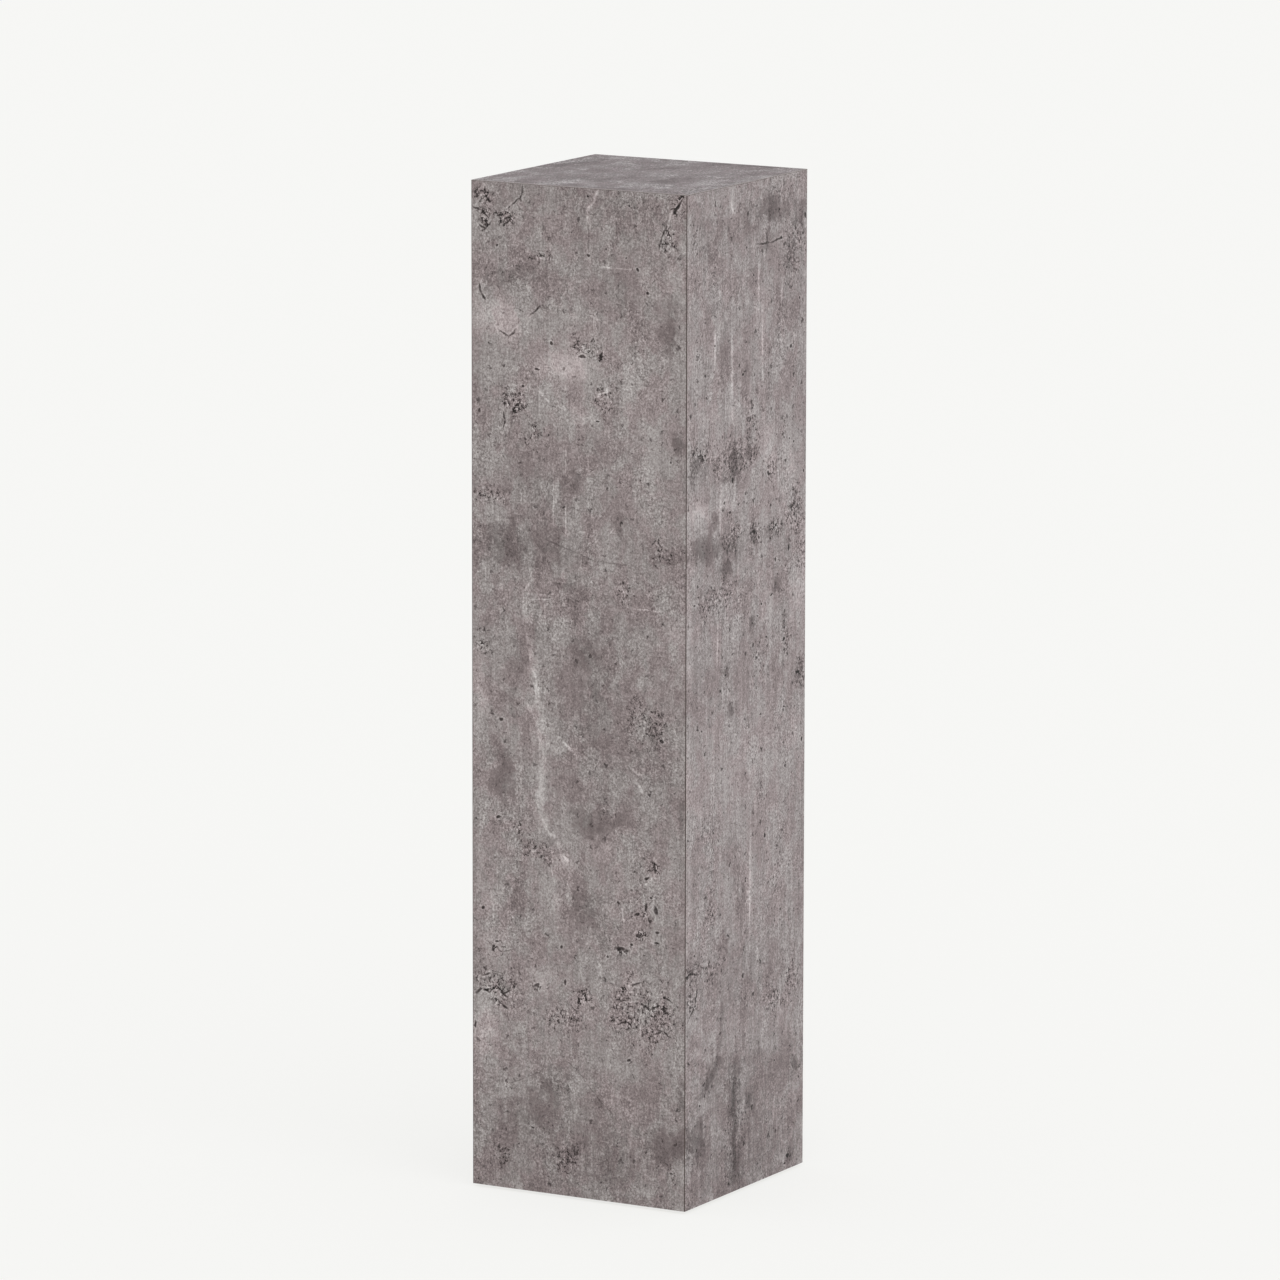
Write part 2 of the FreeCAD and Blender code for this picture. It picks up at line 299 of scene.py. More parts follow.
def concrete_laminate(name, across, up, out, marks, casts, trim, tone_and_light_lift=0.0, streaks=1.0,
                      pitting=1.0, crisp=1.0):
    """High-pressure laminate printed as trowelled concrete. Sizes on the face are in millimetres.

    across, up and out say which way the face runs, as rows over X, Y and Z. The lift is the tone
    of the whole sheet in levels of 0 to 255, partly the sheet's own tone and partly painted light:
    painted shade darkens the top sheet against its stronger light from above. casts are its two
    tints, on the top sheet lilac, partly a painted cool light from above, and trim is the colour of
    its bevel, which on the top sheet is a pale painted highlight. streaks, pitting and crisp scale
    those features.
    """
    m = blank(name)
    coord = node(m, "TexCoord", {})
    face = []
    for row in (across, up):
        in_millimetres = tuple(1000 * v for v in row)
        face.append(node(m, "VectorMath", {
            0: coord["Object"], 1: in_millimetres,
        }, operation="DOT_PRODUCT")["Value"])
    flat = node(m, "CombineXYZ", {"X": face[0], "Y": face[1], "Z": 1.0})[0]

    def noise(place, size, tall=1.0, shift=0.0, **inputs):
        """Noise whose lumps are size wide and tall times as high, in millimetres."""
        where = node(m, "Mapping", {
            "Vector": place,
            "Location": (shift, shift * 0.7, 0),
            "Scale": (1 / size, 1 / size / tall, 1),
        })[0]
        return node(m, "TexNoise", {
            "Vector": where, "Scale": 1.0, **inputs,
        }, noise_dimensions="2D")

    def wander(place, size, far, shift):
        """The place, shifted about by noise: lumps of that size, up to half of far each way."""
        drift = noise(place, size, 1.0, shift, Detail=1.0)["Color"]
        moved = node(m, "VectorMath", {
            0: drift, 1: (far, far, 0), 2: place,
        }, operation="MULTIPLY_ADD")[0]
        return node(m, "VectorMath", {0: moved, 1: (far / 2, far / 2, 0)}, operation="SUBTRACT")[0]

    def within(place, marks, core, rim, fray=0.0):
        """1 inside a mark, up to core of its size, fading to 0 at rim of its size.

        fray is how much of its size the outline is frayed by.
        """
        reach = nearest(m, place, marks)
        if fray:
            reach = node(m, "Math", {0: fraying, 1: fray, 2: reach}, operation="MULTIPLY_ADD")[0]
        return node(m, "MapRange", {
            "Value": reach, "From Min": rim, "From Max": core, "To Min": 0.0, "To Max": 1.0,
        }, interpolation_type="SMOOTHSTEP")[0]

    def step(value, low, high, to_low=0.0, to_high=1.0):
        """A smooth step of a value."""
        return node(m, "MapRange", {
            "Value": value, "From Min": low, "From Max": high, "To Min": to_low, "To Max": to_high,
        }, interpolation_type="SMOOTHSTEP")[0]

    def times(*values):
        """The product of several values."""
        product = values[0]
        for value in values[1:]:
            product = node(m, "Math", {0: product, 1: value}, operation="MULTIPLY")[0]
        return product

    def more(tone, mask, levels):
        """The tone with so many levels more where the mask is 1."""
        return node(m, "Math", {0: mask, 1: levels, 2: tone}, operation="MULTIPLY_ADD")[0]

    wavering = wander(flat, size=6.0, far=2.6, shift=13.0)
    ragged = wander(flat, size=4.0, far=7.0, shift=31.0)
    drifting = wander(ragged, size=26.0, far=16.0, shift=57.0)

    # Trowelled ground: clouds, mottling and fine grain of a cast and rubbed cement surface.
    clouds = noise(drifting, CLOUD, tall=1.3, shift=3.1, Detail=1.0)[0]
    mottle = noise(drifting, MOTTLE, tall=1.5, shift=11.7, Detail=2.0, Roughness=0.75)[0]
    curd = noise(ragged, CURD, tall=1.25, shift=23.9, Detail=2.0, Roughness=0.8)[0]
    grain = noise(flat, GRAIN, tall=1.2, shift=41.3, Detail=2.0, Roughness=0.85)[0]
    drips = noise(flat, DRIP, tall=16.0, shift=7.7, Detail=2.0, Roughness=0.7)[0]

    # What frays the outlines of marks: 3 parts mottling and 2 parts curd, less their mean.
    fraying = more(-2.5, mottle, 3.0)
    fraying = more(fraying, curd, 2.0)

    # The print is livelier in some zones than in others, and calmer in the smooth patches.
    patches = within(drifting, marks["smooth"], core=0.75, rim=1.1, fray=1.0)
    zones = noise(flat, ZONE, tall=1.6, shift=71.0, Detail=2.0, Roughness=0.6)[0]
    lively = times(
        step(patches, 0.0, 1.0, to_low=1.0, to_high=0.7),
        step(zones, 0.35, 0.68, to_low=0.8, to_high=1.2),
    )

    # The noise layers swing round the ground tone, so half of each one's reach comes off it.
    # The lift shifts the whole sheet's tone: partly its own tone, partly painted light and shade for how
    # the light falls on that face.
    tone = GROUND + tone_and_light_lift - (CLOUDING + MOTTLING * crisp + DRIPPING * streaks) / 2
    tone = more(tone, clouds, CLOUDING)
    tone = more(tone, mottle, MOTTLING * crisp)
    tone = more(tone, drips, DRIPPING * streaks)
    for lumps, levels in ((curd, CURDLING), (grain, GRAINING)):
        centred = node(m, "Math", {0: lumps, 1: 0.5}, operation="SUBTRACT")[0]
        tone = more(tone, times(centred, lively), levels * crisp)

    # Clouds and patches listed one by one, in levels of tone.
    for levels, group in marks["clouds"].items():
        tone = more(tone, within(drifting, group, core=0.1, rim=1.5, fray=0.45), levels)
    tone = more(tone, patches, PATCH)
    flaky = step(curd, 0.38, 0.55, to_low=0.35)
    for levels, group in marks["scuffs"].items():
        scuffed = within(ragged, group, core=0.6, rim=1.3, fray=1.0)
        tone = more(tone, times(scuffed, flaky), levels)
    broken = step(curd, 0.3, 0.5, to_low=0.4)
    for levels, group in marks["strokes"].items():
        reach = nearest(m, wavering, group)
        if levels <= DEEP:
            tone = more(tone, step(reach, 2.8, 1.6), CRACK_LIP)
        tone = more(tone, times(step(reach, 1.3, 0.35), broken), levels)

    # Crumbled zones: open pits and pale flakes, which get fewer away from the middle of a zone,
    # and worm-like cracks with a pale lip.
    loose = step(zones, 0.56, 0.72, to_high=0.5 * pitting)
    rough = within(drifting, marks["rough"], core=0.4, rim=1.6, fray=0.9)
    rough = node(m, "Math", {0: rough, 1: loose}, operation="MAXIMUM")[0]
    crumbs = noise(flat, CRUMB, tall=1.2, shift=83.0, Detail=2.0, Roughness=0.9)[0]
    centred = node(m, "Math", {0: crumbs, 1: 0.52}, operation="SUBTRACT")[0]
    tone = more(tone, times(centred, rough), CRUMBLING)
    tone = more(tone, step(more(crumbs, rough, -0.185), 0.25, 0.19), FLECK)
    tone = more(tone, step(more(crumbs, rough, 0.17), 0.76, 0.82), FLAKE)

    # A worm runs where its winding noise is near 0.5, with breaks in it. Its lip is to one side.
    wormy = within(drifting, marks["worms"], core=0.5, rim=1.3, fray=0.8)
    winding = noise(ragged, WINDING, tall=1.2, shift=97.0, Detail=1.0)[0]
    gaps = noise(flat, GAP, tall=1.0, shift=19.0, Detail=1.0)[0]
    open_part = step(gaps, 0.46, 0.53)
    line = node(m, "Math", {0: winding, 1: 0.5}, operation="SUBTRACT")[0]
    off_line = node(m, "Math", {0: line}, operation="ABSOLUTE")[0]
    tone = more(tone, times(step(off_line, 0.055, 0.022), open_part, wormy), WORM)
    lip = node(m, "Math", {0: line, 1: 0.1}, operation="SUBTRACT")[0]
    lip = node(m, "Math", {0: lip}, operation="ABSOLUTE")[0]
    tone = more(tone, times(step(lip, 0.045, 0.015), open_part, wormy), WORM_LIP)

    # Single air holes: pinholes and small ones strewn by chance, the larger ones listed one by one.
    for apart, least, most, share, depth in STREWN:
        strewn = node(m, "Mapping", {
            "Vector": ragged, "Scale": (1 / apart, 1 / apart / 1.2, 1),
        })[0]
        cells = node(m, "TexVoronoi", {"Vector": strewn, "Scale": 1.0}, voronoi_dimensions="2D")
        lot = node(m, "SeparateColor", {0: cells["Color"]})[0]
        size = node(m, "MapRange", {
            "Value": lot, "From Min": share, "From Max": 1.0, "To Min": least, "To Max": most,
        }, clamp=False)[0]
        hole = node(m, "Math", {0: cells["Distance"], 1: size}, operation="SUBTRACT")[0]
        tone = more(tone, step(hole, 0.03, -0.03), depth * pitting)
    reach = nearest(m, wavering, marks["pits"])
    tone = more(tone, step(reach, 2.2, 1.3), PIT_RIM)
    tone = more(tone, step(reach, 1.2, 0.6), PIT)

    # The print in colour: warm grey, browner where it is dark, with a cooler or pinker cast.
    shade = node(m, "MapRange", {"Value": tone, "From Min": DARKEST, "From Max": PALEST})[0]
    printed = node(m, "ValToRGB", {0: shade}, stops=(
        (0.0, "#1a1514"), (0.167, "#37302f"), (0.278, "#4c4443"), (0.389, "#605858"),
        (0.5, "#756c6b"), (0.611, "#8a8180"), (0.722, "#a49b9a"), (0.833, "#c0b8b7"),
        (1.0, "#dcd5d4"),
    ))[0]
    cast = step(mottle, 0.35, 0.65)
    cast = node(m, "MixRGB", {
        "Fac": cast, "Color1": linear(casts[0]), "Color2": linear(casts[1]),
    })[0]
    printed = node(m, "MixRGB", {
        "Fac": 1.0, "Color1": printed, "Color2": cast,
    }, blend_type="MULTIPLY")[0]

    # Trimmed edges: the kraft core shows dark brown, also in the bevel. The top sheet's bevel is painted
    # pale instead, a painted highlight along its arris.
    facing = node(m, "VectorMath", {0: coord["Normal"], 1: out}, operation="DOT_PRODUCT")["Value"]
    on_bevel = step(facing, 0.3, 0.6)
    edge = node(m, "MixRGB", {
        "Fac": on_bevel, "Color1": linear("#3c322e"), "Color2": linear(trim),
    })[0]
    edge = node(m, "MixRGB", {
        "Fac": 0.5, "Color1": edge, "Color2": grain,
    }, blend_type="SOFT_LIGHT")[0]
    on_face = step(facing, 0.8, 0.95)
    colour = node(m, "MixRGB", {"Fac": on_face, "Color1": edge, "Color2": printed})[0]
    gloss = step(curd, 0.3, 0.7, to_low=0.52, to_high=0.64)
    embossed = node(m, "Bump", {"Strength": 0.12, "Distance": 0.0002, "Height": grain})[0]
    resin = node(m, "BsdfPrincipled", {
        "Base Color": colour, "Roughness": gloss, "IOR": 1.5, "Normal": embossed,
        "Specular IOR Level": 0.3,
    })[0]
    node(m, "OutputMaterial", {"Surface": resin})
    return m


X, Y, Z = (1, 0, 0), (0, 1, 0), (0, 0, 1)
NOT_X, NOT_Y = (-1, 0, 0), (0, -1, 0)

# The marks of each face, placed to real sizes. They are in millimetres: across the face
# from its middle line, and up from the floor, or on the top back from its middle. Clouds, scuffs
# and strokes are grouped by how many levels of tone they add.
front_marks = {
    "smooth": [
        (-82, 412, 12, 18), (96, 884, 13, 14), (103, 852, 8, 20), (8, 290, 13, 31), (108, 758, 4, 11),
        (5, 380, 38, 15), (-35, 95, 26, 34), (100, 68, 24, 14), (6, 539, 8, 9),
    ],
    "clouds": {
        -17: [
            (-66, 646, 52, 26), (5, 547, 15, 15), (11, 294, 17, 19), (104, 66, 32, 19), (118, 108, 8, 26),
            (117, 400, 6, 30), (102, 864, 10, 24), (-84, 907, 15, 9), (112, 757, 6, 10), (-84, 414, 11, 28),
            (-28, 111, 22, 14), (14, 379, 26, 12),
        ],
        -13: [
            (-84, 642, 30, 20), (-58, 912, 30, 9), (21, 505, 12, 48), (-42, 558, 14, 11),
            (-5, 606, 11, 20), (-92, 440, 15, 10), (-56, 354, 18, 8), (30, 266, 10, 24),
            (-65, 295, 8, 26), (-62, 76, 26, 24), (26, 98, 12, 6, -35), (95, 648, 26, 13),
            (45, 674, 9, 9), (-5, 710, 9, 11), (46, 900, 12, 20), (-70, 536, 7, 20), (-78, 495, 10, 12),
            (85, 470, 8, 15), (-82, 207, 11, 8), (40, 40, 17, 28), (-15, 42, 18, 11), (-85, 34, 11, 11),
        ],
        -8: [
            (-10, 646, 24, 20), (-48, 702, 52, 28), (30, 568, 40, 20), (62, 984, 44, 16), (48, 954, 22, 10),
            (-98, 957, 9, 9), (-83, 980, 8, 9), (22, 750, 13, 9), (46, 745, 10, 8), (31, 775, 8, 8),
            (88, 430, 20, 34), (75, 202, 11, 11), (78, 240, 10, 9), (0, 60, 130, 70),
            (40, 480, 74, 90), (0, 995, 130, 22),
        ],
        24: [
            (-92, 868, 34, 21), (-14, 824, 32, 13), (-113, 492, 9, 44), (-107, 165, 13, 36),
        ],
        14: [
            (-20, 337, 13, 13), (-40, 462, 12, 24), (-42, 410, 8, 42), (0, 776, 20, 11),
            (107, 915, 10, 18), (78, 915, 8, 14), (-95, 243, 15, 20), (-40, 216, 16, 14),
            (-50, 505, 8, 38), (-28, 452, 16, 7),
            (107, 570, 13, 14), (55, 816, 10, 34), (-28, 300, 8, 24), (-98, 290, 8, 14),
        ],
        7: [
            (-10, 836, 62, 52), (78, 780, 34, 66), (78, 722, 24, 36), (8, 194, 28, 16),
            (66, 515, 26, 20), (107, 322, 13, 32), (56, 262, 6, 11), (92, 160, 11, 13),
            (-30, 936, 12, 9), (-108, 330, 9, 60),
        ],
    },
    "scuffs": {
        11: [
            (30, 353, 10, 10), (-12, 338, 12, 4), (-24, 322, 4, 12), (10, 262, 8, 6), (36, 290, 4, 5),
            (62, 226, 10, 11), (-98, 427, 9, 3), (-100, 295, 6, 4), (-5, 874, 5, 5),
            (48, 102, 22, 10, -35), (70, 428, 4, 9, 35), (16, 928, 4, 3), (-85, 690, 14, 4),
        ],
        -20: [(109, 757, 4, 11), (-38, 881, 9, 4), (46, 664, 5, 5)],
    },
    "strokes": {
        30: strokes(
            1.7,
            [(22, 1000), (17, 987), (10, 978), (11, 966)],
            [(-20, 458), (-2, 444)],
            [(-47, 803), (-32, 788)], [(18, 797), (35, 806)],
            [(60, 437), (72, 430)], [(65, 425), (73, 413)],
        ) + strokes(
            0.8,
            [(18, 925), (40, 924), (62, 925)], [(48, 214), (70, 216)], [(56, 594), (95, 594)],
            [(-50, 594), (-30, 596)], [(73, 322), (85, 332)], [(-28, 660), (-28, 735)],
            [(-14, 715), (-14, 750)], [(-14, 650), (-14, 698)], [(-64, 686), (-64, 703)],
            [(33, 664), (42, 672)], [(52, 275), (49, 300)], [(-30, 330), (-28, 318)],
        ),
        17: strokes(
            1.8,
            [(-55, 630), (-53, 612), (-62, 600), (-62, 580), (-60, 565), (-55, 545), (-54, 530),
             (-47, 515), (-44, 500)],
            [(-48, 410), (-46, 395), (-42, 380), (-35, 366), (-24, 360), (-20, 345), (-10, 338)],
            [(-60, 492), (-50, 480), (-45, 465), (-42, 450)],
        ),
        11: strokes(
            5.0,
            [(-57, 600), (-56, 560), (-50, 525), (-46, 500), (-40, 465)],
            [(-42, 450), (-38, 436), (-41, 412), (-42, 385), (-32, 366), (-20, 352), (-14, 338)],
        ),
        -86: strokes(
            1.1,
            [(-111, 900), (-109, 890), (-104, 884)], [(-53, 873), (-42, 882)],
            [(-88, 855), (-78, 849), (-70, 857)], [(-75, 978), (-63, 988), (-62, 997)],
            [(-105, 994), (-103, 985), (-99, 979)], [(-118, 974), (-108, 971), (-101, 965)],
            [(-111, 957), (-104, 953), (-98, 960)], [(-89, 958), (-82, 964), (-73, 968)],
            [(102, 985), (108, 986), (115, 996)], [(89, 946), (92, 957), (97, 968)],
            [(-84, 775), (-82, 768), (-84, 760)],
            [(-116, 196), (-108, 201), (-100, 198), (-95, 203)], [(-92, 205), (-84, 198), (-77, 202)],
            [(-108, 214), (-100, 218)], [(-88, 188), (-80, 184)], [(45, 182), (54, 186), (61, 180)],
            [(70, 205), (80, 200), (90, 204)], [(95, 215), (105, 210)], [(60, 222), (70, 226)],
            [(84, 176), (96, 180), (105, 174)],
        ),
        -30: strokes(
            0.7,
            [(11, 972), (11, 937)], [(-40, 655), (0, 643), (20, 637), (60, 636)],
            [(-15, 140), (0, 130), (10, 118), (20, 108), (30, 98), (40, 90)],
            [(-105, 250), (-80, 236)], [(-90, 240), (-72, 244)], [(-80, 108), (-58, 117), (-38, 127)],
        ),
    },
    "rough": [
        (-106, 970, 11, 22), (-82, 966, 12, 14), (97, 957, 10, 18), (-42, 930, 12, 8),
        (14, 842, 15, 9), (-50, 762, 13, 15), (-72, 788, 14, 16), (-100, 691, 18, 8),
        (-107, 543, 12, 13), (52, 609, 8, 12), (92, 652, 8, 12), (-66, 366, 5, 10),
        (-45, 347, 16, 12), (78, 196, 38, 36), (-95, 203, 22, 22), (8, 206, 10, 8),
        (-79, 106, 6, 7), (-85, 36, 11, 10), (-15, 38, 16, 13), (108, 39, 9, 9), (80, 480, 20, 20),
        (28, 800, 12, 14), (-20, 180, 20, 10),
    ],
    "worms": [
        (-107, 968, 12, 26), (-80, 968, 11, 13), (108, 988, 9, 9, 35), (96, 955, 9, 17),
        (84, 334, 5, 11), (80, 303, 10, 10), (72, 274, 8, 8), (50, 257, 9, 5), (-96, 203, 18, 21),
        (-47, 211, 5, 4), (4, 206, 9, 8), (-93, 241, 12, 8), (-70, 366, 5, 9), (12, 840, 12, 8),
        (86, 196, 18, 13), (58, 216, 10, 6), (52, 184, 9, 7), (-72, 786, 12, 13),
        (-50, 760, 8, 9), (-107, 543, 10, 12), (-42, 930, 9, 5),
    ],
    "pits": [
        (-91, 938, 1.6, 1.4), (31, 942, 1.3, 1.2), (57, 986, 1.2, 1.1), (10, 992, 1.1, 1.2),
        (53, 935, 1.2, 1.0), (77, 902, 1.8, 1.6), (11, 935, 1.7, 1.7), (66, 924, 1.6, 1.8),
        (4, 836, 4.2, 1.6), (-30, 847, 1.7, 1.5), (-46, 820, 3.0, 1.3), (-82, 784, 1.6, 1.6),
        (-62, 802, 2.0, 1.3), (-111, 775, 1.6, 2.6), (22, 774, 2.2, 1.2), (103, 740, 1.3, 1.4),
        (-87, 472, 2.6, 2.0), (93, 467, 2.6, 2.0, -45), (-90, 375, 2.8, 1.7), (-108, 282, 2.2, 1.6),
        (45, 303, 1.8, 1.2), (-19, 252, 1.4, 2.0), (-92, 250, 2.2, 1.3), (86, 341, 1.5, 6.0),
        (77, 330, 3.2, 1.6, 25), (76, 301, 1.8, 4.6), (87, 299, 2.2, 4.8, 20), (66, 293, 3.2, 1.4, 15),
        (88, 278, 2.4, 1.4), (67, 272, 3.2, 2.0, -20), (88, 267, 3.0, 1.1), (47, 257, 6.0, 1.9),
        (82, 311, 1.8, 1.2), (60, 262, 1.6, 1.4), (-104, 200, 4.0, 1.4, 15), (-84, 197, 4.5, 1.4, -20),
        (-47, 211, 3.4, 1.4, 30), (-117, 164, 1.3, 4.0), (-51, 67, 1.8, 1.1), (57, 147, 2.6, 1.6, 40),
        (108, 985, 7.0, 1.7, 55), (-15, 217, 1.4, 3.2), (33, 248, 1.4, 1.2),
    ],
}

right_marks = {
    "smooth": [
        (-84, 652, 36, 15), (-64, 676, 7, 12), (13, 567, 6, 8), (60, 596, 7, 6), (-42, 525, 8, 7),
        (-30, 487, 7, 5), (-100, 70, 18, 14), (45, 972, 22, 22),
    ],
    "clouds": {
        -27: [
            (50, 968, 38, 15), (106, 956, 18, 14), (-105, 733, 20, 15), (-25, 722, 9, 21),
            (-80, 649, 44, 12), (-60, 650, 24, 12), (14, 653, 10, 11), (-22, 92, 11, 44), (-20, 28, 14, 28),
            (-106, 70, 25, 22),
        ],
        -18: [
            (86, 918, 12, 30), (40, 938, 12, 12), (-45, 630, 16, 15), (50, 650, 24, 8), (-20, 646, 20, 11),
            (8, 88, 12, 12), (100, 107, 9, 10), (88, 18, 11, 8), (107, 501, 8, 15), (-32, 487, 8, 10),
            (14, 567, 7, 8), (-66, 126, 10, 28, -50), (30, 135, 9, 8),
        ],
        -13: [
            (-75, 942, 15, 8), (-65, 883, 14, 8), (9, 912, 8, 10), (-46, 840, 8, 28), (-83, 822, 8, 14),
            (0, 812, 14, 8), (-42, 714, 10, 6), (6, 740, 8, 18), (85, 635, 8, 8), (98, 670, 7, 12),
            (57, 594, 8, 7), (76, 550, 6, 22), (-40, 527, 9, 9), (-10, 300, 7, 28), (-42, 262, 9, 12),
            (-108, 245, 13, 18), (55, 40, 8, 18), (0, 40, 130, 60), (0, 110, 130, 40),
        ],
        -8: [
            (0, 875, 10, 10), (90, 870, 22, 18), (95, 806, 16, 8), (75, 745, 6, 16), (-78, 600, 22, 14),
            (-100, 520, 20, 30), (30, 240, 18, 8), (-45, 190, 7, 14), (-105, 197, 10, 9), (88, 200, 9, 9),
            (78, 515, 7, 7), (-32, 450, 6, 16), (-10, 220, 110, 34), (-40, 960, 70, 20),
        ],
        17: [
            (105, 586, 22, 30), (-95, 688, 24, 13), (-32, 691, 24, 8), (-50, 700, 10, 16),
        ],
        12: [
            (-34, 985, 8, 15), (-42, 893, 10, 9), (28, 862, 7, 60), (-66, 845, 6, 28), (-80, 781, 28, 14),
            (-28, 779, 9, 10), (-60, 745, 14, 28), (40, 735, 14, 22), (92, 712, 10, 20),
            (42, 577, 18, 24), (25, 602, 12, 12), (-60, 555, 6, 20), (8, 300, 6, 52), (100, 445, 10, 20),
            # The last of these, a thin strip the full height of the corner nearest the front, is a painted
            # highlight along that arris.
            (116, 640, 6, 20), (-117, 500, 7, 600),
        ],
        9: [
            (-105, 840, 10, 22), (-22, 842, 10, 10), (60, 705, 52, 52), (-92, 398, 10, 14),
            (-74, 424, 13, 10), (-30, 415, 14, 14), (60, 380, 15, 32), (85, 165, 7, 20),
            (70, 308, 22, 9), (-100, 566, 9, 14), (0, 430, 110, 50), (-60, 470, 14, 18),
        ],
    },
    "scuffs": {
        9: [
            (-92, 688, 22, 9), (-31, 978, 3, 9, 25), (-110, 540, 6, 24), (-54, 688, 4, 12),
        ],
        -24: [
            (-97, 735, 10, 14), (-84, 727, 5, 11), (-62, 730, 6, 5), (-46, 713, 9, 5),
            (-27, 722, 7, 18), (-12, 730, 3, 7), (3, 735, 5, 7), (18, 733, 4, 4), (13, 567, 6, 8),
            (60, 596, 7, 6), (50, 588, 4, 2), (-42, 525, 8, 7), (-30, 486, 6, 6), (76, 560, 5, 11),
            (107, 503, 8, 9), (14, 655, 7, 7), (-41, 626, 11, 6), (85, 632, 3, 8, -20),
            (43, 709, 6, 3, -35), (67, 680, 4, 3), (101, 106, 8, 9), (88, 16, 9, 6), (5, 88, 8, 9),
            (-34, 681, 4, 3), (96, 682, 5, 7), (-64, 676, 6, 10), (-29, 462, 3, 12), (66, 938, 4, 3),
        ],
    },
    "strokes": {
        25: strokes(
            2.1, [(23, 868), (22, 928)], [(-30, 765), (-31, 860)], [(-35, 985), (-27, 970)],
            [(-65, 826), (-64, 868)], [(-59, 532), (-57, 580)], [(-53, 655), (-53, 702)],
            [(8, 255), (9, 365)],
        ) + strokes(1.0, [(68, 790), (68, 802)], [(31, 795), (30, 868)], [(68, 870), (69, 900)]),
        -22: strokes(
            5.0, [(-48, 195), (-50, 170), (-53, 150), (-60, 135), (-70, 125), (-85, 115)],
            [(-20, 125), (-22, 80), (-20, 22)],
        ),
        -84: strokes(
            1.2,
            [(18, 937), (45, 936), (70, 938)], [(38, 926), (38, 947)], [(-112, 238), (-96, 235)],
            [(-116, 190), (-100, 205), (-97, 222)],
        ),
    },
    "rough": [
        (-95, 838, 12, 16), (12, 762, 14, 26), (20, 655, 20, 12), (58, 652, 22, 12), (95, 670, 17, 26),
        (110, 502, 9, 18), (-70, 288, 12, 10), (-88, 236, 34, 14), (-106, 206, 13, 18),
        (-8, 80, 16, 16), (92, 200, 20, 22), (-20, 655, 30, 16), (-64, 600, 28, 18),
        (105, 622, 12, 14), (-32, 732, 40, 17), (-98, 740, 20, 18), (20, 530, 13, 16), (76, 548, 10, 32),
        (45, 712, 13, 11), (92, 925, 20, 34), (75, 745, 7, 22), (-104, 955, 9, 12), (60, 180, 16, 16),
    ],
    "worms": [
        (-92, 742, 18, 12), (12, 768, 8, 18), (60, 652, 16, 8), (72, 427, 8, 7),
        (-106, 236, 12, 6), (96, 672, 10, 12), (-108, 206, 8, 14),
    ],
    "pits": [
        (67, 938, 2.4, 1.6), (116, 955, 1.8, 3.0), (105, 875, 1.6, 1.4), (88, 829, 2.2, 2.0),
        (-9, 813, 2.0, 1.8), (92, 788, 1.5, 1.4), (43, 709, 3.2, 1.8, -35), (-34, 681, 2.4, 1.8),
        (-45, 692, 1.8, 1.4), (94, 734, 1.5, 1.3), (86, 738, 1.4, 1.2), (115, 702, 1.8, 1.5),
        (14, 655, 2.6, 2.6), (24, 648, 2.0, 1.8), (58, 656, 2.0, 1.5), (85, 630, 1.8, 3.4, -20),
        (58, 622, 1.8, 2.2), (-104, 600, 2.0, 1.5), (30, 582, 1.9, 1.5), (22, 571, 2.2, 1.2),
        (50, 588, 3.0, 1.3, 15), (20, 530, 2.4, 1.6), (76, 540, 2.6, 1.9), (113, 434, 2.2, 2.4),
        (-42, 522, 2.2, 1.4), (104, 503, 4.5, 1.8, -10), (-89, 474, 1.5, 1.4), (76, 469, 1.4, 1.4),
        (38, 350, 2.4, 2.2), (62, 332, 1.5, 1.4), (71, 270, 1.5, 1.6), (-102, 254, 1.5, 1.4),
        (-5, 217, 2.2, 2.6), (60, 119, 1.6, 1.4), (-91, 103, 1.5, 1.4), (88, 17, 3.6, 2.2),
        (82, 10, 2.2, 1.6), (-29, 712, 1.6, 2.4), (-101, 964, 1.4, 1.3), (12, 908, 1.3, 1.3),
        (-65, 848, 1.4, 1.3), (40, 548, 2.0, 1.0),
    ],
}

